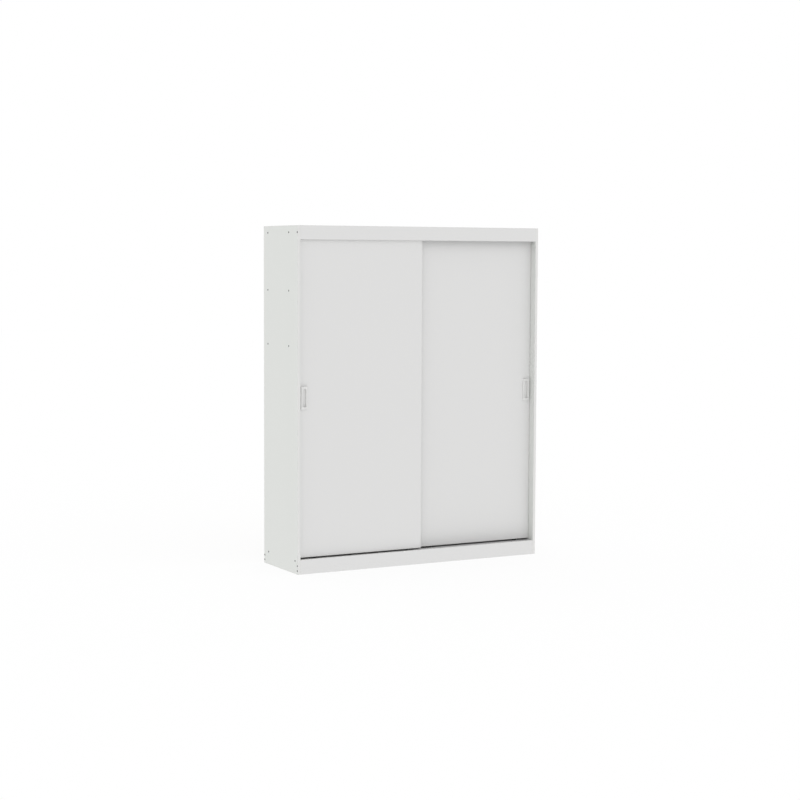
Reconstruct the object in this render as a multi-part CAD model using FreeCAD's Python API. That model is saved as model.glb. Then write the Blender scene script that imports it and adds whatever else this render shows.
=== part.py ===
import FreeCAD, Part
import math
import os

# Tall white cupboard with two sliding doors that pass each other.
# Millimetres. X runs to the right, Y to the back and Z up.
# The origin is on the floor, in the middle of the width and of the depth.

Vec = FreeCAD.Vector
RIGHT = Vec(1, 0, 0)
BACK = Vec(0, 1, 0)
UP = Vec(0, 0, 1)

# Overall sizes
cabinet_width = 1479.0
cabinet_height = 1830.0
side_depth = 428.0
board = 15.0
back_sheet = 3.0
arris = 0.6

# Fits, the overrun of cuts and the tolerance for picking edges
hole_clearance = 0.1
pocket_clearance = 0.2
running_clearance = 0.06
overrun = 1.0
match = 0.01

# Carcass
top_drop = 28.5
plinth_height = 61.5
front_lip = 1.5
upper_bay = 290.0
middle_bay = 275.0
sheet_inset = 2.0
sheet_joint = 1.0

# Doors
fascia_gap = 3.0
passing_gap = 14.0
inside_gap = 11.0
door_side_gap = 1.0
door_overlap = 20.0
door_lift = 6.5
fascia_lap = 5.0

# Flush pulls
pull_level = 929.0
pull_margin = 8.0
pull_proud = 8.0
pull_side = 9.2
pull_end = 14.0
pull_corner = 4.0
pull_edge_round = 1.5
slot_width = 20.0
slot_height = 94.0
slot_corner = 3.0
cup_wall = 2.0
cup_depth = 3.0

# Bottom tracks
track_width = 12.0
track_depth = 5.0
track_wall = 1.5

# Top track
channel_width = 12.0
channel_wall = 1.5
channel_height = 18.0
track_screw_shares = (0.06, 0.28, 0.5, 0.72, 0.94)

# Rollers
wheel_radius = 16.0
wheel_side_room = 1.7
wheel_lift = 0.3
wheel_edge_round = 1.4
hub_radius = 5.0
web_width = 2.6
rim_wall = 3.0
axle_radius = 2.0
axle_cover = 0.8
roller_setback = 90.0
housing_room = 2.0
housing_side_room = 0.5
housing_cheek = 1.7
housing_end = 7.0
housing_roof = 1.5
flange_ear = 12.0
flange_thick = 2.0
flange_corner = 4.0

# Top guides
guide_setback = 60.0
guide_length = 30.0
guide_side_room = 1.0
guide_head_room = 7.0
guide_ear = 12.0
guide_plate_thick = 2.0
guide_corner = 3.0

# Hanging rails
rail_radius = 12.5
rail_wall = 1.2
rail_drop = 46.5
rail_end_gap = 36.0
rail_cup_length = 16.0
rail_cup_wall = 2.6
stem_radius = 6.0
foot_radius = 22.0
foot_thick = 3.0
foot_screw_reach = 15.0

# Long screws through the sides
side_screw_length = 50.0
side_screw_shank = 2.2
side_screw_head = 5.0
shelf_screw_front = 39.0
shelf_screw_rear = 53.0
base_screw_gap = 3.5
base_screw_rear = 58.0
plinth_screw_shares = (0.31, 0.73)

# Other screws
short_screw_length = 14.0
short_screw_shank = 1.5
short_screw_head = 3.0
divider_screw_length = 45.0
recess_depth_share = 0.65
recess_width_share = 0.5

# Dowels
dowel_radius = 4.0
slim_dowel_radius = 3.0
dowel_chamfer = 0.8
dowel_bite = 15.0
fascia_dowel_bite = 9.0
plinth_dowel_bite = 9.0
dowel_row_shares = (0.12, 0.5, 0.88)
dowel_pair_shares = (0.25, 0.75)

# Nails
nail_length = 20.0
nail_shank = 0.8
nail_head = 2.4
nail_head_thick = 0.8
nail_end_gap = 60.0
nail_spacing = 210.0

# Places of the carcass
depth = side_depth + back_sheet
front = -depth / 2
rear = front + side_depth
half_width = cabinet_width / 2
inner = half_width - board
half_board = board / 2
base_top = plinth_height + board
top_upper = cabinet_height - top_drop
top_under = top_upper - board
upper_shelf = top_under - upper_bay - half_board
lower_shelf = upper_shelf - board - middle_bay

# Places of the doors and what they run on
front_door = front + board + fascia_gap + half_board
rear_door = front_door + board + passing_gap
inside_front = rear_door + half_board + inside_gap
track_floor = base_top - track_depth + track_wall
axle_height = track_floor + wheel_lift + wheel_radius
door_foot = axle_height - axle_radius - axle_cover
channel_foot = top_under - channel_height
door_head = channel_foot - door_lift
fascia_foot = door_head - fascia_lap
door_width = inner - door_side_gap + door_overlap / 2

# Fittings that take their sizes from what they fit
wheel_width = track_width - 2 * (track_wall + wheel_side_room)
housing_width = wheel_width + 2 * (housing_side_room + housing_cheek)
housing_length = 2 * (wheel_radius + housing_room + housing_end)
housing_top = axle_height + wheel_radius + housing_room + housing_roof
flange_length = housing_length + 2 * flange_ear
guide_width = channel_width - 2 * guide_side_room
guide_top = top_under - channel_wall - guide_head_room
guide_plate_length = guide_length + 2 * guide_ear
pull_width = slot_width + 2 * pull_side
pull_height = slot_height + 2 * pull_end
rail_height = lower_shelf - half_board - rail_drop
rail_front = inside_front + rail_end_gap
rail_rear = rear - rail_end_gap
rail_seat = rail_radius + hole_clearance
bay_middle = (inner + half_board) / 2

short_screw = (short_screw_length, short_screw_shank, short_screw_head)
side_screw = (side_screw_length, side_screw_shank, side_screw_head)
divider_screw = (divider_screw_length, side_screw_shank, side_screw_head)


# Shapes

def block(x0, x1, y0, y1, z0, z1):
    """A plain block between two corners."""
    return Part.makeBox(x1 - x0, y1 - y0, z1 - z0, Vec(x0, y0, z0))


def panel(x0, x1, y0, y1, z0, z1):
    """A board with softened arrises."""
    blank = block(x0, x1, y0, y1, z0, z1)
    return blank.makeFillet(arris, blank.Edges)


def tablet(x0, x1, y0, y1, z0, z1, way, corner):
    """A block with the four edges along one direction rounded."""
    blank = block(x0, x1, y0, y1, z0, z1)
    edges = [e for e in blank.Edges if abs(e.Curve.Direction.dot(way)) > 0]
    return blank.makeFillet(corner, edges)


def rod(radius, start, way, length):
    """A round bar from a point along a direction."""
    return Part.makeCylinder(radius, length, start, way)


def turned(points):
    """A solid turned about the Z axis from an outline of (radius, height) points."""
    corners = [Vec(r, 0, z) for r, z in points]
    outline = Part.makePolygon(corners + corners[:1])
    return Part.Face(outline).revolve(Vec(), UP, 360)


def placed(shape, at, way):
    """A shape drawn along +Z from the origin, moved to a point and turned to a direction."""
    moved = shape.copy()
    moved.Placement = FreeCAD.Placement(at, FreeCAD.Rotation(UP, way))
    return moved


def mirrored(shapes):
    """The same shapes on the other side of the cupboard."""
    return [shape.mirror(Vec(), RIGHT) for shape in shapes]


def spread(low, high, spacing):
    """Even places from one end to the other, at most one spacing apart."""
    gaps = math.ceil((high - low) / spacing)
    return [low + (high - low) * i / gaps for i in range(gaps + 1)]


def shared(low, high, shares):
    """Places at shares of a length."""
    return [low + (high - low) * share for share in shares]


def save(name, *shapes):
    """Write one node. Several like pieces stay separate solids in it."""
    solids = [solid for shape in shapes for solid in shape.Solids]
    Part.makeCompound(solids).exportStep("parts/" + name + ".step")


# Fasteners

def screw_outline(length, shank, head):
    """Half the outline of a countersunk screw from its head's rim to its tip."""
    return [(head, 0), (shank, head - shank), (shank, length - shank), (0, length)]


def cross_screw(at, way, length, shank, head):
    """A countersunk screw with a cross recess."""
    body = turned([(0, 0)] + screw_outline(length, shank, head))
    recess_depth = recess_depth_share * (head - shank)
    half_slot = recess_width_share * shank / 2
    slots = [block(-x, x, -y, y, -overrun, recess_depth)
             for x, y in ((shank, half_slot), (half_slot, shank))]
    return placed(body.cut(slots), at, way)


def screw_hole(at, way, length, shank, head):
    """The hole that a countersunk screw sits in."""
    mouth = head + hole_clearance
    outline = screw_outline(length + hole_clearance, shank + hole_clearance, mouth)
    return placed(turned([(0, -overrun), (mouth, -overrun)] + outline), at, way)


def nail(at, way, grow=0.0, rise=0.0):
    """A nail with its flat head flush with the sheet, or its hole when grown and raised."""
    shank = nail_shank + grow
    head = nail_head + grow
    outline = [(0, -rise), (head, -rise), (head, nail_head_thick), (shank, nail_head_thick),
               (shank, nail_length - nail_shank), (0, nail_length + grow)]
    return placed(turned(outline), at, way)


def dowel(at, way, length, grow=0.0, size=dowel_radius):
    """A chamfered dowel from a point along a direction, or its hole when grown."""
    radius = size + grow
    low = -grow
    high = length + grow
    outline = [(0, low), (radius - dowel_chamfer, low), (radius, low + dowel_chamfer),
               (radius, high - dowel_chamfer), (radius - dowel_chamfer, high), (0, high)]
    return placed(turned(outline), at, way)


# Screws through the side panels

def side_screw_places():
    """Place in depth and height of each screw in a side panel."""
    plinth_levels = shared(0, plinth_height, plinth_screw_shares)
    base_level = base_top - half_board
    places = [(front + half_board, (fascia_foot + cabinet_height) / 2)]
    places += [(front + half_board, level) for level in plinth_levels]
    places += [(rear - half_board, level) for level in plinth_levels]
    places.append((front_door + track_width / 2 + base_screw_gap, base_level))
    places.append((rear - base_screw_rear, base_level))
    for level in (lower_shelf, upper_shelf, top_upper - half_board):
        places.append((inside_front + shelf_screw_front, level))
        places.append((rear - shelf_screw_rear, level))
    return places


side_heads = [Vec(-half_width, y, z) for y, z in side_screw_places()]
left_screws = [cross_screw(at, RIGHT, *side_screw) for at in side_heads]
left_screw_holes = [screw_hole(at, RIGHT, *side_screw) for at in side_heads]
side_holes = left_screw_holes + mirrored(left_screw_holes)


# Nails of the back sheets

def left_nail_heads():
    """Where the nails of the left sheet go: along its sides and along each board across it."""
    low = plinth_height + half_board
    high = top_upper - half_board
    heads = [(x, z) for x in (half_board - half_width, -board / 4)
             for z in spread(low + nail_end_gap, high - nail_end_gap, nail_spacing)]
    heads += [(x, z) for z in (low, lower_shelf, upper_shelf, high)
              for x in spread(-inner + nail_end_gap, -half_board - nail_end_gap, nail_spacing)]
    return [Vec(x, rear + back_sheet, z) for x, z in heads]


left_nails = [nail(at, -BACK) for at in left_nail_heads()]
left_nail_holes = [nail(at, -BACK, hole_clearance, overrun) for at in left_nail_heads()]
nail_holes = left_nail_holes + mirrored(left_nail_holes)


# Dowels and screws inside the carcass

dowel_row = shared(-inner, inner, dowel_row_shares)


def fascia_dowels(grow=0.0):
    """From the fascia's back into the top panel's front edge."""
    start = front + board - fascia_dowel_bite
    level = top_upper - half_board
    return [dowel(Vec(x, start, level), BACK, fascia_dowel_bite + dowel_bite, grow) for x in dowel_row]


def front_plinth_dowels(grow=0.0):
    """Slim ones from the front plinth's back into the base panel's front edge, under the tracks."""
    start = front + board - plinth_dowel_bite
    length = plinth_dowel_bite + dowel_bite
    level = (plinth_height + base_top - track_depth) / 2
    return [dowel(Vec(x, start, level), BACK, length, grow, slim_dowel_radius) for x in dowel_row]


def rear_plinth_dowels(grow=0.0):
    """From the rear plinth up into the base panel."""
    start = plinth_height - dowel_bite
    return [dowel(Vec(x, rear - half_board, start), UP, dowel_bite + half_board, grow) for x in dowel_row]


def divider_dowels(grow=0.0):
    """From the brace, through the base panel, into the divider's foot."""
    start = plinth_height - dowel_bite
    return [dowel(Vec(0, y, start), UP, board + 2 * dowel_bite, grow)
            for y in shared(inside_front, rear, dowel_pair_shares)]


def shelf_dowels(grow=0.0):
    """Through the divider into the ends of the shelves on both sides of it."""
    start = -half_board - dowel_bite
    return [dowel(Vec(start, y, z), RIGHT, board + 2 * dowel_bite, grow)
            for z in (lower_shelf, upper_shelf)
            for y in shared(inside_front, rear, dowel_pair_shares)]


divider_heads = [Vec(0, y, top_upper) for y in shared(inside_front, rear, dowel_pair_shares)]
divider_holes = [screw_hole(at, -UP, *divider_screw) for at in divider_heads]


# Hanging rails, which run from front to back under the lower shelves

def hanger_heads(x, end, inward):
    """Where the two screws of a hanger's foot have their heads."""
    middle = end + inward * (rail_cup_length / 2 - rail_cup_wall)
    level = rail_height + rail_drop - foot_thick
    return [Vec(x + side * foot_screw_reach, middle, level) for side in (-1, 1)]


def hanging_rail(x):
    """An open tube."""
    length = rail_rear - rail_front
    start = Vec(x, rail_front, rail_height)
    bore = rod(rail_radius - rail_wall, start, BACK, length)
    return rod(rail_radius, start, BACK, length).cut(bore)


def rail_hanger(x, end, inward):
    """A cup that holds one end of a rail, on a stem with a round foot."""
    way = BACK * inward
    floor = end - inward * rail_cup_wall
    middle = floor + inward * rail_cup_length / 2
    cup = rod(rail_cup_wall + rail_seat, Vec(x, floor, rail_height), way, rail_cup_length)
    stem = rod(stem_radius, Vec(x, middle, rail_height), UP, rail_drop)
    foot = rod(foot_radius, Vec(x, middle, rail_height + rail_drop), -UP, foot_thick)
    seat = rod(rail_seat, Vec(x, end, rail_height), way, rail_cup_length)
    holes = [screw_hole(at, UP, *short_screw) for at in hanger_heads(x, end, inward)]
    return cup.fuse([stem, foot]).cut([seat] + holes).removeSplitter()


rail_ends = {"front": (rail_front, 1), "rear": (rail_rear, -1)}
rail_heads = [at for x in (-bay_middle, bay_middle)
              for end, inward in rail_ends.values()
              for at in hanger_heads(x, end, inward)]
rail_holes = [screw_hole(at, UP, *short_screw) for at in rail_heads]


# Tracks

def track_groove(middle, rise=0.0):
    """The outside of a bottom track, or the groove for it when raised."""
    half = track_width / 2
    return block(-inner, inner, middle - half, middle + half, base_top - track_depth, base_top + rise)


def bottom_track(middle):
    """A channel let into the base panel, flush with its top."""
    room = track_width / 2 - track_wall
    return track_groove(middle).cut(block(-inner, inner, middle - room, middle + room, track_floor, base_top))


def top_track():
    """Two channels that open downwards, side by side on one web."""
    half = channel_width / 2 + channel_wall
    roof = top_under - channel_wall
    body = block(-inner, inner, front_door - half, rear_door + half, roof, top_under)
    for middle in (front_door, rear_door):
        rib = block(-inner, inner, middle - half, middle + half, channel_foot, top_under)
        room = half - channel_wall
        body = body.fuse(rib.cut(block(-inner, inner, middle - room, middle + room, channel_foot, roof)))
    return body.removeSplitter()


top_track_heads = [Vec(x, (front_door + rear_door) / 2, top_under - channel_wall)
                   for x in shared(-inner, inner, track_screw_shares)]
top_track_holes = [screw_hole(at, UP, *short_screw) for at in top_track_heads]


# Carcass

def make_boards():
    """Sides, top, base, fascia, plinths, divider and shelves."""
    side = panel(-half_width, -inner, front, rear, 0, cabinet_height)
    side = side.cut(left_screw_holes + left_nail_holes)
    save("left_side_panel", side)
    save("right_side_panel", *mirrored([side]))

    top = panel(-inner, inner, front + board, rear, top_under, top_upper)
    fascia_holes = fascia_dowels(hole_clearance)
    save("top_panel", top.cut(side_holes + nail_holes + fascia_holes + divider_holes + top_track_holes))
    fascia = panel(-inner, inner, front, front + board, fascia_foot, cabinet_height)
    save("header_fascia", fascia.cut(side_holes + fascia_holes))

    base = panel(-inner, inner, front + board, rear, plinth_height, base_top)
    track_cuts = [track_groove(middle, overrun) for middle in (front_door, rear_door)]
    plinth_holes = front_plinth_dowels(hole_clearance) + rear_plinth_dowels(hole_clearance)
    divider_foot_holes = divider_dowels(hole_clearance)
    save("base_panel", base.cut(track_cuts + side_holes + nail_holes + plinth_holes + divider_foot_holes))
    front_plinth = panel(-inner, inner, front, front + board, 0, base_top + front_lip)
    save("front_plinth", front_plinth.cut(side_holes + plinth_holes))
    rear_plinth = panel(-inner, inner, rear - board, rear, 0, plinth_height)
    save("rear_plinth", rear_plinth.cut(side_holes + plinth_holes))
    brace = panel(-half_board, half_board, front + board, rear - board, 0, plinth_height)
    save("plinth_brace", brace.cut(divider_foot_holes))

    shelf_holes = shelf_dowels(hole_clearance)
    divider = panel(-half_board, half_board, inside_front, rear, base_top, top_under)
    save("centre_divider", divider.cut(divider_holes + divider_foot_holes + shelf_holes + nail_holes))
    for name, level in (("lower_shelf", lower_shelf), ("upper_shelf", upper_shelf)):
        shelf = panel(-inner, -half_board, inside_front, rear, level - half_board, level + half_board)
        shelf = shelf.cut(left_screw_holes + left_nail_holes + shelf_holes + rail_holes)
        save("left_" + name, shelf)
        save("right_" + name, *mirrored([shelf]))


def make_back():
    """Two sheets that meet on the divider, and their nails."""
    sheet = block(sheet_inset - half_width, -sheet_joint / 2, rear, rear + back_sheet,
                  plinth_height, top_upper)
    sheet = sheet.cut(left_nail_holes)
    save("left_back_sheet", sheet)
    save("right_back_sheet", *mirrored([sheet]))
    save("back_nails", *left_nails, *mirrored(left_nails))


def make_fasteners():
    """Screws and dowels that hold the boards together."""
    save("left_side_screws", *left_screws)
    save("right_side_screws", *mirrored(left_screws))
    save("divider_screws", *[cross_screw(at, -UP, *divider_screw) for at in divider_heads])
    save("fascia_dowels", *fascia_dowels())
    save("plinth_dowels", *front_plinth_dowels(), *rear_plinth_dowels())
    save("divider_dowels", *divider_dowels())
    save("shelf_dowels", *shelf_dowels())


def make_rails():
    """A hanging rail with two hangers in each tall bay, and the hangers' screws."""
    for side, x in (("left", -bay_middle), ("right", bay_middle)):
        save(side + "_hanging_rail", hanging_rail(x))
        for where, (end, inward) in rail_ends.items():
            save(side + "_rail_" + where + "_hanger", rail_hanger(x, end, inward))
    save("rail_hanger_screws", *[cross_screw(at, UP, *short_screw) for at in rail_heads])


def make_tracks():
    """The tracks that the doors run in, and the top track's screws."""
    save("top_track", top_track().cut(top_track_holes))
    save("top_track_screws", *[cross_screw(at, UP, *short_screw) for at in top_track_heads])
    save("front_bottom_track", bottom_track(front_door))
    save("rear_bottom_track", bottom_track(rear_door))


# Flush pulls

def pull_cup(x, face, grow=0.0):
    """The outside of a pull's cup, or the pocket milled for it when grown."""
    half_wide = slot_width / 2 + cup_wall + grow
    half_high = slot_height / 2 + cup_wall + grow
    return tablet(x - half_wide, x + half_wide, face, face + cup_depth + grow,
                  pull_level - half_high, pull_level + half_high, BACK, slot_corner + cup_wall)


def flush_pull(x, face):
    """A raised plate with a finger slot, and behind it a shallow cup let into the door."""
    mouth = face - pull_proud
    plate = tablet(x - pull_width / 2, x + pull_width / 2, mouth, face,
                   pull_level - pull_height / 2, pull_level + pull_height / 2, BACK, pull_corner)
    slot = tablet(x - slot_width / 2, x + slot_width / 2, mouth, face + cup_depth - cup_wall,
                  pull_level - slot_height / 2, pull_level + slot_height / 2, BACK, slot_corner)
    plate = plate.cut(slot)
    rims = [e for e in plate.Edges if e.BoundBox.YMax < mouth + match]
    plate = plate.makeFillet(pull_edge_round, rims)
    return plate.fuse(pull_cup(x, face).cut(slot)).removeSplitter()


# Rollers

def wheel(x, middle):
    """A wheel with a rim, a thin web and a hub, bored for its axle."""
    half = wheel_width / 2
    web = web_width / 2
    rim = wheel_radius - rim_wall
    bore = axle_radius + running_clearance
    side = [(bore, half), (hub_radius, half), (hub_radius, web), (rim, web), (rim, half),
            (wheel_radius, half)]
    other_side = [(r, -z) for r, z in reversed(side)]
    body = turned(side + other_side)
    tread = [e for e in body.Edges
             if isinstance(e.Curve, Part.Circle) and e.Curve.Radius > wheel_radius - match]
    return placed(body.makeFillet(wheel_edge_round, tread), Vec(x, middle, axle_height), BACK)


def axle(x, middle):
    """The pin that carries a wheel between the housing's cheeks."""
    return rod(axle_radius, Vec(x, middle - housing_width / 2, axle_height), BACK, housing_width)


def roller_heads(x, middle):
    """Where the heads of a housing's two screws lie, flush with the door's foot."""
    reach = (flange_length + housing_length) / 4
    return [Vec(x + side * reach, middle, door_foot) for side in (-1, 1)]


def housing_blank(x, middle, grow=0.0):
    """The outside of a roller housing and its ears, or the mortise for it when grown."""
    half_wide = housing_width / 2 + grow
    half_body = housing_length / 2 + grow
    half_ears = flange_length / 2 + grow
    body = block(x - half_body, x + half_body, middle - half_wide, middle + half_wide,
                 door_foot, housing_top + grow)
    ears = tablet(x - half_ears, x + half_ears, middle - half_wide, middle + half_wide,
                  door_foot, door_foot + flange_thick + grow, UP, flange_corner)
    return body.fuse(ears).removeSplitter()


def roller_housing(x, middle):
    """A housing let into the door's foot, with two cheeks, a roof and two ears."""
    reach = wheel_radius + housing_room
    half = wheel_width / 2 + housing_side_room
    room = block(x - reach, x + reach, middle - half, middle + half, door_foot, housing_top - housing_roof)
    holes = [screw_hole(at, UP, *short_screw) for at in roller_heads(x, middle)]
    return housing_blank(x, middle).cut([room, axle(x, middle)] + holes)


# Top guides

def guide_heads(x, middle):
    """Where the heads of a guide's two screws lie."""
    reach = (guide_plate_length + guide_length) / 4
    return [Vec(x + side * reach, middle, door_head + guide_plate_thick) for side in (-1, 1)]


def top_guide(x, middle):
    """A plate on the door's head with a tongue that runs in the top track."""
    half_wide = guide_width / 2
    half_plate = guide_plate_length / 2
    half_tongue = guide_length / 2
    plate = tablet(x - half_plate, x + half_plate, middle - half_wide, middle + half_wide,
                   door_head, door_head + guide_plate_thick, UP, guide_corner)
    tongue = tablet(x - half_tongue, x + half_tongue, middle - half_wide, middle + half_wide,
                    door_head, guide_top, UP, guide_corner)
    holes = [screw_hole(at, -UP, *short_screw) for at in guide_heads(x, middle)]
    return plate.fuse(tongue).removeSplitter().cut(holes)


# Doors

def make_door(name, left, middle, pull):
    """A door panel with its pull, rollers, guides and screws."""
    right = left + door_width
    face = middle - half_board
    rollers = {"left": left + roller_setback, "right": right - roller_setback}
    guides = {"left": left + guide_setback, "right": right - guide_setback}
    feet = [at for x in rollers.values() for at in roller_heads(x, middle)]
    heads = [at for x in guides.values() for at in guide_heads(x, middle)]

    tools = [screw_hole(at, UP, *short_screw) for at in feet]
    tools += [screw_hole(at, -UP, *short_screw) for at in heads]
    tools += [housing_blank(x, middle, pocket_clearance) for x in rollers.values()]
    tools.append(pull_cup(pull, face, pocket_clearance))
    door = panel(left, right, face, face + board, door_foot, door_head)
    save(name + "_door_panel", door.cut(tools))
    save(name + "_flush_pull", flush_pull(pull, face))

    for where, x in rollers.items():
        save(name + "_door_" + where + "_roller_housing", roller_housing(x, middle))
        save(name + "_door_" + where + "_axle", axle(x, middle))
        save(name + "_door_" + where + "_wheel", wheel(x, middle))
    for where, x in guides.items():
        save(name + "_door_" + where + "_top_guide", top_guide(x, middle))
    screws = [cross_screw(at, UP, *short_screw) for at in feet]
    screws += [cross_screw(at, -UP, *short_screw) for at in heads]
    save(name + "_door_screws", *screws)


os.makedirs("parts", exist_ok=True)
make_boards()
make_back()
make_fasteners()
make_rails()
make_tracks()
door_end = inner - door_side_gap
pull_middle = door_end - pull_margin - pull_width / 2
make_door("left", -door_end, front_door, -pull_middle)
make_door("right", door_end - door_width, rear_door, pull_middle)
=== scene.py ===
"""Finishes, stage and camera of a tall white cupboard with two sliding doors."""

import math

import bmesh
import bpy
from bpy.props import FloatProperty, FloatVectorProperty, PointerProperty
from bpy.types import Operator, Panel, PropertyGroup
from mathutils import Matrix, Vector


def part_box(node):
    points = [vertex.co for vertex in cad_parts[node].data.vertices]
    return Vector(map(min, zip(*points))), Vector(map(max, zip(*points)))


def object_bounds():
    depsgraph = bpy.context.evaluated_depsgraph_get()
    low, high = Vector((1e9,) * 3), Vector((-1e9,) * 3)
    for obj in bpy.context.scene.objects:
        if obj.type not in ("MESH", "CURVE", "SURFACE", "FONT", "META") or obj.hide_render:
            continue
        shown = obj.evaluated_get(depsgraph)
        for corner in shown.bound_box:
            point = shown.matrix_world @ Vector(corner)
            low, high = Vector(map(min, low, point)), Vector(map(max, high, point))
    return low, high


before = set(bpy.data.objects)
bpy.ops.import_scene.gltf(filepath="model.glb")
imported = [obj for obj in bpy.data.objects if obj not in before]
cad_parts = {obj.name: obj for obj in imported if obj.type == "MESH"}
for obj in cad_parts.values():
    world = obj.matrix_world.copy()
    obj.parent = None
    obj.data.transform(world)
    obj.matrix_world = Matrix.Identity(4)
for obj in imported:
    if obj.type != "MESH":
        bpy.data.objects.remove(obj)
cad_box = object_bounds()

bl_info = {
    "name": "Sliding door cupboard",
    "version": (1, 0, 0),
    "blender": (4, 5, 0),
    "location": "3D View > Sidebar > Cupboard",
    "description": "Finishes, stage and camera of a cupboard with two sliding doors",
    "category": "Object",
}

WHITE = (1.0, 1.0, 1.0, 1.0)

# Places of the axes in a vector
X, Y, Z = range(3)

# The middle of a noise or of a height, which run from 0 to 1
HALF = 0.5

# Least part of a normal along an axis for a face that lies square to the axis
SQUARE = 0.9

# Least part of a normal along a direction for a face that looks that way
TOWARDS = 0.5

# How far a pattern is squeezed along a drawn or extruded piece, so that it turns into lines
DRAWN = 0.004

# Places of a Mix node's two colour inputs, and of its colour output
MIX_INPUTS = (6, 7)
MIX_OUTPUT = 2

# Shares of the light from the horizon, from above and from the zenith that a level face takes in
LEVEL_SHARES = (1 / 12, 1 / 2, 5 / 12)

FLOOR_SIDES = 96


# Settings

def colour(name, description, default):
    """A colour that a user can change."""
    return FloatVectorProperty(name=name, description=description, subtype="COLOR", size=3,
                               min=0.0, max=1.0, default=default)


def length(name, description, default):
    """A length in metres."""
    return FloatProperty(name=name, description=description, unit="LENGTH", subtype="DISTANCE",
                         min=0.0, precision=5, default=default)


def angle(name, description, degrees):
    """An angle, given in degrees and kept in radians."""
    return FloatProperty(name=name, description=description, unit="ROTATION", subtype="ANGLE",
                         default=math.radians(degrees))


def share(name, description, default):
    """A number from 0 to 1."""
    return FloatProperty(name=name, description=description, subtype="FACTOR",
                         min=0.0, max=1.0, default=default)


def strength(name, description, default):
    """A strength of light, where 1 is white."""
    return FloatProperty(name=name, description=description, min=0.0, default=default)


class StageSettings(PropertyGroup):
    """Floor, light and camera."""

    place: FloatVectorProperty(name="Camera place", description="Where the camera stands",
                               subtype="TRANSLATION", unit="LENGTH", size=3,
                               default=(-4.7263, -8.6189, 1.6660))
    turn: angle("Camera turn", "How far the camera looks to the right of straight ahead", 28.662)
    tilt: angle("Camera tilt", "How far the camera looks down", 4.565)
    roll: angle("Camera roll", "How far the camera leans", 0.25)
    lens: FloatProperty(name="Lens", description="Focal length of the camera", unit="CAMERA",
                        default=80.403)
    sensor: FloatProperty(name="Sensor", description="Width of the camera's sensor", unit="CAMERA",
                          default=36.0)
    zenith: strength("Zenith", "Light from straight above", 0.7)
    above: strength("Above", "Light from halfway between the horizon and the zenith", 1.5)
    horizon: strength("Horizon", "Light from the horizon", 0.18)
    below: strength("Below", "Light from halfway between the horizon and straight below", 1.2)
    nadir: strength("Nadir", "Light from straight below", 2.2)
    floor_radius: length("Floor radius", "Radius of the round floor", 30.0)
    floor_colour: colour("Floor colour", "Colour of the floor in the shadow", (0.9, 0.9, 0.9))
    shadow: share("Shadow", "How strongly the floor shows the shadow", 0.15)


class BoardSettings(PropertyGroup):
    """Melamine-faced boards."""

    facing: colour("Facing", "Colour of the melamine facing", (0.733, 0.732, 0.728))
    # The side panels' facing is a darker, greener copy of the same melamine: painted shade that
    # dims the side faces
    shaded_side_facing: colour("Side facing", "Colour of the side panels' facing", (0.713, 0.727, 0.704))
    mottle: share("Mottle", "How much darker the faint mottle is than the facing", 0.02)
    band: colour("Edge band", "Colour of the edge bands", (0.735, 0.735, 0.725))
    glue: colour("Glue line", "Colour of the line between facing and band", (0.52, 0.50, 0.46))
    roughness: share("Roughness", "Roughness of the facing", 0.42)
    sheen: share("Sheen", "How much the facing mirrors", 0.3)
    pore: length("Pore", "Size of the facing's fine pores", 0.0008)
    pore_depth: length("Pore depth", "Depth of the pores", 0.00002)
    mottle_size: length("Mottle size", "Size of the mottle", 0.006)
    smear_size: length("Smear size", "Size of the patches that hands leave", 0.2)
    band_thick: length("Band thickness", "Thickness of the edge bands", 0.0008)
    glue_thick: length("Glue line width", "Width of the glue line", 0.00015)


class BackSettings(PropertyGroup):
    """Back sheets of pressed fibre."""

    fibre: colour("Fibre", "Colour of the pressed fibre", (0.24, 0.135, 0.066))
    pale_fibre: colour("Pale fibre", "Colour of the paler fibres", (0.36, 0.225, 0.125))
    lacquer: colour("Lacquer", "Colour of the lacquered side", (0.70, 0.70, 0.685))
    screen: length("Screen pitch", "Pitch of the wire screen's print on the rough side", 0.0022)
    screen_depth: length("Screen depth", "Depth of that print", 0.00018)
    wave_size: length("Wave size", "Size of the waves in the wire screen", 0.03)
    fibre_length: length("Fibre length", "Length of the fibres that show", 0.004)
    cloud_size: length("Cloud size", "Size of the paler clouds", 0.09)


class PlasticSettings(PropertyGroup):
    """Moulded plastics."""

    white: colour("White plastic", "Colour of the pulls", (0.737, 0.737, 0.729))
    white_roughness: share("White roughness", "Roughness of the pulls", 0.34)
    # The tracks' dark tone is painted shade: it blackens the gap under the doors and deepens the
    # shade at their feet
    track_shade_grey: colour("Grey plastic", "Colour of the bottom tracks", (0.30, 0.30, 0.305))
    black: colour("Black plastic", "Colour of the housings and the wheels", (0.014, 0.014, 0.015))
    black_roughness: share("Black roughness", "Roughness of the roller housings", 0.5)
    nylon: colour("Nylon", "Colour of the top guides", (0.70, 0.675, 0.60))
    nylon_roughness: share("Nylon roughness", "Roughness of the top guides", 0.42)
    dust: colour("Dust", "Colour of the dust on the tracks and on the wheels", (0.30, 0.29, 0.27))
    texture: length("Mould texture", "Size of the mould's fine texture", 0.0006)
    texture_depth: length("Texture depth", "Depth of that texture", 0.000012)
    flow_size: length("Flow size", "Size of the clouds that the flowing plastic leaves", 0.02)
    tread: length("Tread", "How deep the dust reaches from a wheel's rim", 0.0012)
    dust_size: length("Dust size", "Size of the specks of dust", 0.0012)
    patch_size: length("Dust patch size", "Size of the dusty patches in the tracks", 0.06)


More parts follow.
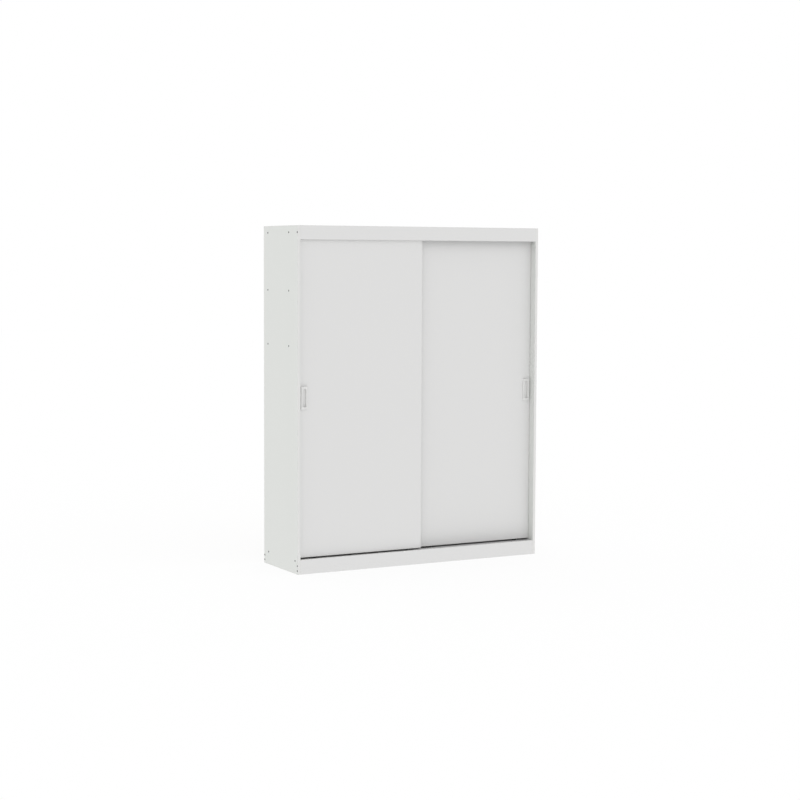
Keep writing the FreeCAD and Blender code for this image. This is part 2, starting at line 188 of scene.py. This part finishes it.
class MetalSettings(PropertyGroup):
    """Screws, nails, axles, rails and the top track."""

    black: colour("Black steel", "Colour of the phosphated screws", (0.022, 0.022, 0.024))
    zinc: colour("Zinc", "Colour of zinc plate", (0.60, 0.61, 0.63))
    zinc_tint: colour("Zinc tint", "Colour of its passivation", (0.50, 0.53, 0.60))
    tint_size: length("Tint size", "Size of the tinted patches", 0.006)
    chrome: colour("Chrome", "Colour of the hanging rails", (0.55, 0.556, 0.554))
    rail_roughness: share("Rail roughness", "Roughness of the hanging rails", 0.10)
    hanger_roughness: share("Hanger roughness", "Roughness of the rails' hangers", 0.16)
    aluminium: colour("Aluminium", "Colour of the top track", (0.74, 0.745, 0.75))
    track_roughness: share("Track roughness", "Roughness of the top track", 0.36)
    crystal: length("Crystal", "Size of the plating's crystals", 0.0012)
    die_line: length("Die line", "Width of the lines that drawing leaves along a bar", 0.0005)
    die_depth: length("Die line depth", "Depth of those lines", 0.000008)


class DowelSettings(PropertyGroup):
    """Bare beech dowels."""

    wood: colour("Beech", "Colour of the wood", (0.62, 0.43, 0.255))
    fleck: colour("Fleck", "Colour of the flecks and vessels", (0.42, 0.255, 0.135))
    vessel: length("Vessel", "Width of the vessels", 0.0004)
    run: length("Vessel run", "Length of the vessels along the grain", 0.006)


class CupboardSettings(PropertyGroup):
    """All the cupboard's settings."""

    stage: PointerProperty(type=StageSettings)
    boards: PointerProperty(type=BoardSettings)
    back: PointerProperty(type=BackSettings)
    plastic: PointerProperty(type=PlasticSettings)
    metal: PointerProperty(type=MetalSettings)
    dowels: PointerProperty(type=DowelSettings)


# Shader nodes

class Wire:
    """A node's output. Sums and comparisons of wires and numbers add Math nodes."""

    def __init__(self, recipe, socket):
        self.recipe = recipe
        self.socket = socket

    def output(self, name):
        """Another output of the same node."""
        return Wire(self.recipe, self.socket.node.outputs[name])

    def math(self, operation, *values):
        """One Math node."""
        return self.recipe.node("ShaderNodeMath", {"operation": operation}, dict(enumerate(values)))

    def __add__(self, other):
        return self.math("ADD", self, other)

    def __radd__(self, other):
        return self.math("ADD", other, self)

    def __sub__(self, other):
        return self.math("SUBTRACT", self, other)

    def __rsub__(self, other):
        return self.math("SUBTRACT", other, self)

    def __mul__(self, other):
        return self.math("MULTIPLY", self, other)

    def __rmul__(self, other):
        return self.math("MULTIPLY", other, self)

    def __pow__(self, other):
        return self.math("POWER", self, other)

    def __rpow__(self, other):
        return self.math("POWER", other, self)

    def __gt__(self, other):
        return self.math("GREATER_THAN", self, other)

    def __lt__(self, other):
        return self.math("LESS_THAN", self, other)

    def __and__(self, other):
        return self.math("MINIMUM", self, other)

    def __rand__(self, other):
        return self.math("MINIMUM", other, self)

    def __or__(self, other):
        return self.math("MAXIMUM", self, other)

    def __ror__(self, other):
        return self.math("MAXIMUM", other, self)

    def __abs__(self):
        return self.math("ABSOLUTE", self)

    def sine(self):
        """The sine of an angle in radians."""
        return self.math("SINE", self)

    def swing(self, spread):
        """How far a noise swings to either side of its middle, times a spread."""
        return spread * (self - HALF)


class Recipe:
    """The nodes of one material or of the world."""

    def __init__(self, tree):
        tree.nodes.clear()
        self.tree = tree

    def node(self, kind, settings=None, inputs=None, output=0):
        """Add a node: its settings first, then the values or wires of its sockets."""
        made = self.tree.nodes.new(kind)
        for name, value in (settings or {}).items():
            setattr(made, name, value)
        for key, value in (inputs or {}).items():
            if isinstance(value, Wire):
                self.tree.links.new(value.socket, made.inputs[key])
            else:
                made.inputs[key].default_value = value
        return Wire(self, made.outputs[output]) if made.outputs else None

    def coordinate(self, name):
        """A texture coordinate, in metres and in the cupboard's own axes."""
        return self.node("ShaderNodeTexCoord", output=name)

    def axes(self, vector):
        """The three parts of a vector."""
        parts = self.node("ShaderNodeSeparateXYZ", None, {0: vector})
        return [parts.output(name) for name in "XYZ"]

    def vector(self, operation, first, second):
        """Two vectors joined part by part."""
        return self.node("ShaderNodeVectorMath", {"operation": operation}, {0: first, 1: second})

    def squeezed(self, vector, run, factor):
        """A place that moves slower along one axis, so that a pattern stretches along it."""
        factors = [factor if axis == run else 1.0 for axis in range(3)]
        return self.vector("MULTIPLY", vector, factors)

    def noise(self, vector, size, detail=2.0):
        """Noise whose patches are about as large as a size."""
        inputs = {"Vector": vector, "Scale": 1 / size, "Detail": detail}
        return self.node("ShaderNodeTexNoise", None, inputs)

    def mixed(self, factor, first, second):
        """One colour fading into another."""
        inputs = {0: factor}
        for key, value in zip(MIX_INPUTS, (first, second)):
            inputs[key] = value if isinstance(value, Wire) else (*value, 1.0)
        return self.node("ShaderNodeMix", {"data_type": "RGBA"}, inputs, MIX_OUTPUT)

    def bump(self, height, depth):
        """A normal from a height between 0 and 1 and the depth that it stands for."""
        inputs = {"Height": height, "Distance": depth, "Strength": 1.0}
        return self.node("ShaderNodeBump", None, inputs)

    def surface(self, inputs):
        """The shader of a material, and its output."""
        shader = self.node("ShaderNodeBsdfPrincipled", None, inputs)
        self.node("ShaderNodeOutputMaterial", None, {"Surface": shader})


def new_finish(name):
    """An empty material, and the recipe that fills it."""
    material = bpy.data.materials.new(name)
    material.use_nodes = True
    return material, Recipe(material.node_tree)


def dress(node, material):
    """Put a material on a piece."""
    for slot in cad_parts[node].material_slots:
        slot.material = material


def named(*endings):
    """The pieces whose names end in one of the words, in order."""
    return sorted(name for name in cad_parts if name.endswith(endings))


# Finishes

def melamine(node, tone, look):
    """White melamine facing with fine pores, and edge bands on the narrow faces."""
    pore_spread, smear_spread, band_polish = 0.06, 0.10, 0.08
    low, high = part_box(node)
    sizes = high - low
    thin = min(range(3), key=lambda axis: sizes[axis])
    material, recipe = new_finish(node + "_melamine")
    place = recipe.coordinate("Object")
    pores = recipe.noise(place, look.pore)
    mottle = recipe.noise(place, look.mottle_size, detail=3.0)
    smears = recipe.noise(place, look.smear_size, detail=4.0)

    edges = [(spot - low[axis]) & (high[axis] - spot)
             for axis, spot in enumerate(recipe.axes(place)) if axis != thin]
    inset = edges[0] & edges[1]
    broad = abs(recipe.axes(recipe.coordinate("Normal"))[thin]) > SQUARE
    faced = broad & (inset > look.band_thick)
    banded = 1 - faced
    glue = faced & (inset < look.band_thick + look.glue_thick)

    darker = [(1 - look.mottle) * part for part in tone]
    facing = recipe.mixed(mottle, tone, darker)
    board = recipe.mixed(banded, facing, look.band)
    worn = look.roughness + pores.swing(pore_spread) + smears.swing(smear_spread)
    recipe.surface({
        "Base Color": recipe.mixed(glue, board, look.glue),
        "Roughness": worn - band_polish * banded,
        "Specular IOR Level": look.sheen,
        "Normal": recipe.bump(pores, look.pore_depth),
    })
    return material


def fibre_sheet(node, look):
    """Pressed fibre with a wire screen's print behind, and white lacquer inside."""
    waviness = 0.6
    fibre_contrast, cloud_contrast, brown_share = 1.5, 0.5, 0.5
    print_height, fibre_height, lacquer_fill = 0.35, 0.3, 0.97
    roughness, fibre_spread, lacquer_polish = 0.82, 0.15, 0.4
    material, recipe = new_finish(node + "_fibre")
    place = recipe.coordinate("Object")
    across, _, up = recipe.axes(place)
    warp = waviness * recipe.noise(place, look.wave_size)
    turns = 2 * math.pi / look.screen
    screen = (across * turns + warp).sine() * (up * turns + warp).sine()
    fibres = recipe.noise(place, look.fibre_length, detail=6.0)
    clouds = recipe.noise(place, look.cloud_size, detail=3.0)
    inside = recipe.axes(recipe.coordinate("Normal"))[Y] < -TOWARDS
    pale = fibre_contrast * fibres + cloud_contrast * clouds - brown_share
    brown = recipe.mixed(pale, look.fibre, look.pale_fibre)
    rough_side = HALF + print_height * screen + fibres.swing(fibre_height)
    recipe.surface({
        "Base Color": recipe.mixed(inside, brown, look.lacquer),
        "Roughness": roughness + fibres.swing(fibre_spread) - lacquer_polish * inside,
        "Normal": recipe.bump(rough_side * (1 - lacquer_fill * inside), look.screen_depth),
    })
    return material


def moulded(name, tone, roughness, look):
    """Satin plastic with the mould's fine texture."""
    flow_shade, spread = 0.95, 0.10
    material, recipe = new_finish(name)
    place = recipe.coordinate("Object")
    grain = recipe.noise(place, look.texture)
    flow = recipe.noise(place, look.flow_size, detail=3.0)
    darker = [flow_shade * part for part in tone]
    recipe.surface({
        "Base Color": recipe.mixed(flow, tone, darker),
        "Roughness": roughness + grain.swing(spread) + flow.swing(spread),
        "Normal": recipe.bump(grain, look.texture_depth),
    })
    return material


def track_plastic(node, wheel, look):
    """Matt extrusion with dust on its upper faces, save where the wheels run. Its dark tone is
    painted shade that blackens the gap under the doors.
    """
    speck_contrast, patch_contrast, clean_share = 2.4, 0.8, 1.35
    roughness, dust_spread, wear, line_spread = 0.5, 0.35, 0.2, 0.1
    low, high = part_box(wheel)
    material, recipe = new_finish(node + "_plastic")
    place = recipe.coordinate("Object")
    depth = recipe.axes(place)[Y]
    lines = recipe.noise(recipe.squeezed(place, X, DRAWN), look.texture, detail=3.0)
    specks = recipe.noise(place, look.dust_size, detail=4.0)
    patches = recipe.noise(place, look.patch_size, detail=3.0)
    worn = abs(depth - (low.y + high.y) / 2) < (high.y - low.y) / 2
    upper = recipe.axes(recipe.coordinate("Normal"))[Z] > TOWARDS
    dusty = (upper - worn) & (speck_contrast * specks + patch_contrast * patches - clean_share)
    recipe.surface({
        # Painted shade: the dark track tone under the dust
        "Base Color": recipe.mixed(dusty, look.track_shade_grey, look.dust),
        "Roughness": roughness + dust_spread * dusty - wear * worn + lines.swing(line_spread),
        "Normal": recipe.bump(lines, look.texture_depth),
    })
    return material


def wheel_plastic(node, look):
    """Black plastic with turned faces and dust on the tread."""
    speck_contrast, clean_share, dust_cover = 2.0, 0.7, 0.5
    roughness, dust_spread, speck_spread = 0.4, 0.3, 0.08
    low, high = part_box(node)
    middle = (low + high) / 2
    radius = (high.z - low.z) / 2
    material, recipe = new_finish(node + "_plastic")
    place = recipe.coordinate("Object")
    across, _, up = recipe.axes(recipe.vector("SUBTRACT", place, middle))
    reach = (across * across + up * up) ** 0.5
    rings = (reach * (2 * math.pi / look.texture)).sine()
    specks = recipe.noise(place, look.dust_size, detail=4.0)
    tread = (reach > radius - look.tread) & (speck_contrast * specks - clean_share)
    recipe.surface({
        "Base Color": recipe.mixed(dust_cover * tread, look.black, look.dust),
        "Roughness": roughness + dust_spread * tread + specks.swing(speck_spread),
        "Normal": recipe.bump(HALF + HALF * rings, look.texture_depth),
    })
    return material


def black_steel(look):
    """Matt black phosphate over steel."""
    finer, wear, roughness, spread = 4, 0.02, 0.6, 0.2
    material, recipe = new_finish("black_steel")
    crystals = recipe.noise(recipe.coordinate("Object"), look.crystal / finer, detail=3.0)
    worn = [part + wear for part in look.black]
    recipe.surface({
        "Base Color": recipe.mixed(crystals, look.black, worn),
        "Metallic": 0.2,
        "Roughness": roughness + crystals.swing(spread),
        "Specular IOR Level": 0.25,
        "Normal": recipe.bump(crystals, look.die_depth),
    })
    return material


def zinc_plate(look):
    """Bright zinc plate with a faint tint."""
    roughness, spread = 0.30, 0.2
    material, recipe = new_finish("zinc_plate")
    place = recipe.coordinate("Object")
    crystals = recipe.noise(place, look.crystal, detail=3.0)
    recipe.surface({
        "Base Color": recipe.mixed(recipe.noise(place, look.tint_size), look.zinc, look.zinc_tint),
        "Metallic": 1.0,
        "Roughness": roughness + crystals.swing(spread),
        "Normal": recipe.bump(crystals, look.die_depth),
    })
    return material


def drawn_metal(name, tone, roughness, run, look):
    """Metal with fine lines along the direction in which it was drawn."""
    line_shade, smooth_share, line_spread = 0.9, 0.6, 0.8
    material, recipe = new_finish(name)
    place = recipe.coordinate("Object")
    lines = recipe.noise(recipe.squeezed(place, run, DRAWN), look.die_line, detail=3.0)
    darker = [line_shade * part for part in tone]
    recipe.surface({
        "Base Color": recipe.mixed(lines, tone, darker),
        "Metallic": 1.0,
        "Roughness": roughness * (smooth_share + line_spread * lines),
        "Normal": recipe.bump(lines, look.die_depth),
    })
    return material


def beech(node, grain, look):
    """Bare beech with short dark vessels along the dowels."""
    vessel_contrast, pale_share, ring_contrast = 2.2, 0.9, 0.4
    vessels_per_ring, depth_share = 8, 0.25
    roughness, spread = 0.66, 0.15
    material, recipe = new_finish(node + "_beech")
    along = recipe.squeezed(recipe.coordinate("Object"), grain, look.vessel / look.run)
    vessels = recipe.noise(along, look.vessel)
    rings = recipe.noise(along, vessels_per_ring * look.vessel)
    dark = vessel_contrast * vessels - pale_share + ring_contrast * rings
    recipe.surface({
        "Base Color": recipe.mixed(dark, look.wood, look.fleck),
        "Roughness": roughness + vessels.swing(spread),
        "Normal": recipe.bump(1 - vessels, depth_share * look.vessel),
    })
    return material


# Stage

def climb(stage, rise, middle, end):
    """How the light changes from the horizon, through the middle of the rise, to its end."""
    return (middle - stage.horizon) * (2 * rise & 1) + (end - middle) * (2 * rise - 1 | 0)


def studio_world(stage):
    """A soft white light from all around. It looks plain white wherever it is seen."""
    world = bpy.data.worlds.new("studio")
    world.use_nodes = True
    recipe = Recipe(world.node_tree)
    up = recipe.axes(recipe.coordinate("Generated"))[Z]
    camera = recipe.node("ShaderNodeLightPath", output="Is Camera Ray")
    seen = camera | camera.output("Is Glossy Ray") | camera.output("Is Transmission Ray")
    sky = stage.horizon + climb(stage, up | 0, stage.above, stage.zenith)
    ring = sky + climb(stage, 0 - up | 0, stage.below, stage.nadir)
    light = recipe.node("ShaderNodeBackground", None, {"Color": WHITE, "Strength": ring})
    plain = recipe.node("ShaderNodeBackground", None, {"Color": WHITE, "Strength": 1.0})
    both = recipe.node("ShaderNodeMixShader", None, {0: seen, 1: light, 2: plain})
    recipe.node("ShaderNodeOutputWorld", None, {"Surface": both})
    return world


def pale_floor(stage):
    """A round white floor that keeps a faint shadow."""
    shape = bmesh.new()
    bmesh.ops.create_circle(shape, cap_ends=True, segments=FLOOR_SIDES, radius=stage.floor_radius)
    mesh = bpy.data.meshes.new("floor")
    shape.to_mesh(mesh)
    shape.free()
    floor = bpy.data.objects.new("floor", mesh)
    floor.location.z = cad_box[0].z
    material, recipe = new_finish("floor")
    shaded = recipe.node("ShaderNodeBsdfDiffuse", None, {"Color": (*stage.floor_colour, 1.0)})
    lights = (stage.horizon, stage.above, stage.zenith)
    light = sum(part * level for part, level in zip(LEVEL_SHARES, lights))
    lit = stage.shadow * stage.floor_colour[0] * light
    glow = (1 - lit) / (1 - stage.shadow)
    plain = recipe.node("ShaderNodeEmission", None, {"Color": WHITE, "Strength": glow})
    both = recipe.node("ShaderNodeMixShader", None, {0: stage.shadow, 1: plain, 2: shaded})
    recipe.node("ShaderNodeOutputMaterial", None, {"Surface": both})
    mesh.materials.append(material)
    floor.visible_diffuse = False
    floor.visible_glossy = False
    floor.visible_shadow = False
    return floor


def photo_camera(stage):
    """The camera at the photograph's viewpoint."""
    data = bpy.data.cameras.new("camera")
    data.lens = stage.lens
    data.sensor_width = stage.sensor
    camera = bpy.data.objects.new("camera", data)
    aim = Matrix.Rotation(-stage.turn, 4, "Z") @ Matrix.Rotation(math.pi / 2 - stage.tilt, 4, "X")
    lean = Matrix.Rotation(stage.roll, 4, "Z")
    camera.matrix_world = Matrix.Translation(stage.place) @ aim @ lean
    return camera


# Operators

class CUPBOARD_OT_stage(Operator):
    """Set up the floor, the light and the camera"""

    bl_idname = "cupboard.stage"
    bl_label = "Stage"

    def execute(self, context):
        stage = context.scene.cupboard.stage
        context.scene.view_settings.view_transform = "Standard"
        context.scene.world = studio_world(stage)
        floor = pale_floor(stage)
        context.scene.collection.objects.link(floor)
        camera = photo_camera(stage)
        context.scene.collection.objects.link(camera)
        context.scene.camera = camera
        return {"FINISHED"}


class CUPBOARD_OT_boards(Operator):
    """Face the boards of the carcass"""

    bl_idname = "cupboard.boards"
    bl_label = "Boards"

    def execute(self, context):
        look = context.scene.cupboard.boards
        for node in named("_side_panel"):
            # Painted shade: the side panels take the darker copy of the facing
            dress(node, melamine(node, look.shaded_side_facing, look))
        for node in named("top_panel", "base_panel", "_divider", "_fascia", "_plinth", "_brace",
                          "_shelf"):
            dress(node, melamine(node, look.facing, look))
        return {"FINISHED"}


class CUPBOARD_OT_doors(Operator):
    """Face the two doors"""

    bl_idname = "cupboard.doors"
    bl_label = "Doors"

    def execute(self, context):
        look = context.scene.cupboard.boards
        for node in named("_door_panel"):
            dress(node, melamine(node, look.facing, look))
        return {"FINISHED"}


class CUPBOARD_OT_back(Operator):
    """Finish the back sheets"""

    bl_idname = "cupboard.back"
    bl_label = "Back sheets"

    def execute(self, context):
        look = context.scene.cupboard.back
        for node in named("_back_sheet"):
            dress(node, fibre_sheet(node, look))
        return {"FINISHED"}


class CUPBOARD_OT_pulls(Operator):
    """Finish the flush pulls"""

    bl_idname = "cupboard.pulls"
    bl_label = "Flush pulls"

    def execute(self, context):
        look = context.scene.cupboard.plastic
        for node in named("_flush_pull"):
            dress(node, moulded(node + "_plastic", look.white, look.white_roughness, look))
        return {"FINISHED"}


class CUPBOARD_OT_tracks(Operator):
    """Finish the top and bottom tracks"""

    bl_idname = "cupboard.tracks"
    bl_label = "Tracks"

    def execute(self, context):
        metal = context.scene.cupboard.metal
        plastic = context.scene.cupboard.plastic
        drawn = drawn_metal("top_track", metal.aluminium, metal.track_roughness, X, metal)
        dress("top_track", drawn)
        for node, wheel in (("front_bottom_track", "left_door_left_wheel"),
                            ("rear_bottom_track", "right_door_left_wheel")):
            dress(node, track_plastic(node, wheel, plastic))
        return {"FINISHED"}


class CUPBOARD_OT_running_gear(Operator):
    """Finish the roller housings, wheels and top guides"""

    bl_idname = "cupboard.running_gear"
    bl_label = "Running gear"

    def execute(self, context):
        look = context.scene.cupboard.plastic
        for node in named("_roller_housing"):
            dress(node, moulded(node, look.black, look.black_roughness, look))
        for node in named("_top_guide"):
            dress(node, moulded(node, look.nylon, look.nylon_roughness, look))
        for node in named("_wheel"):
            dress(node, wheel_plastic(node, look))
        return {"FINISHED"}


class CUPBOARD_OT_rails(Operator):
    """Finish the hanging rails and their hangers"""

    bl_idname = "cupboard.rails"
    bl_label = "Hanging rails"

    def execute(self, context):
        look = context.scene.cupboard.metal
        for node in named("_hanging_rail"):
            dress(node, drawn_metal(node, look.chrome, look.rail_roughness, Y, look))
        for node in named("_hanger"):
            dress(node, drawn_metal(node, look.chrome, look.hanger_roughness, Z, look))
        return {"FINISHED"}


class CUPBOARD_OT_fasteners(Operator):
    """Finish the screws, nails, axles and dowels"""

    bl_idname = "cupboard.fasteners"
    bl_label = "Fasteners"

    def execute(self, context):
        settings = context.scene.cupboard
        black = black_steel(settings.metal)
        zinc = zinc_plate(settings.metal)
        for node in named("_side_screws", "divider_screws"):
            dress(node, black)
        for node in named("_hanger_screws", "_track_screws", "_door_screws", "_nails", "_axle"):
            dress(node, zinc)
        for node, grain in (("shelf_dowels", X), ("fascia_dowels", Y), ("plinth_dowels", Z),
                            ("divider_dowels", Z)):
            dress(node, beech(node, grain, settings.dowels))
        return {"FINISHED"}


OPERATORS = (CUPBOARD_OT_stage, CUPBOARD_OT_boards, CUPBOARD_OT_doors, CUPBOARD_OT_back,
             CUPBOARD_OT_pulls, CUPBOARD_OT_tracks, CUPBOARD_OT_running_gear, CUPBOARD_OT_rails,
             CUPBOARD_OT_fasteners)


class CUPBOARD_PT_sidebar(Panel):
    """The cupboard's operators and settings"""

    bl_idname = "CUPBOARD_PT_sidebar"
    bl_label = "Cupboard"
    bl_space_type = "VIEW_3D"
    bl_region_type = "UI"
    bl_category = "Cupboard"

    def draw(self, context):
        for operator in OPERATORS:
            self.layout.operator(operator.bl_idname)
        settings = context.scene.cupboard
        for name in CupboardSettings.__annotations__:
            group = getattr(settings, name)
            column = self.layout.box().column()
            for key in type(group).__annotations__:
                column.prop(group, key)


CLASSES = (StageSettings, BoardSettings, BackSettings, PlasticSettings, MetalSettings,
           DowelSettings, CupboardSettings, *OPERATORS, CUPBOARD_PT_sidebar)


def register():
    """Add the classes, and the settings to the scene."""
    for item in CLASSES:
        bpy.utils.register_class(item)
    bpy.types.Scene.cupboard = PointerProperty(type=CupboardSettings)


def unregister():
    """Take the settings and the classes away again."""
    del bpy.types.Scene.cupboard
    for item in reversed(CLASSES):
        bpy.utils.unregister_class(item)


def main():
    """Finish the whole cupboard and set the stage."""
    register()
    bpy.ops.cupboard.stage()
    bpy.ops.cupboard.boards()
    bpy.ops.cupboard.doors()
    bpy.ops.cupboard.back()
    bpy.ops.cupboard.pulls()
    bpy.ops.cupboard.tracks()
    bpy.ops.cupboard.running_gear()
    bpy.ops.cupboard.rails()
    bpy.ops.cupboard.fasteners()


if __name__ == "__main__":
    main()
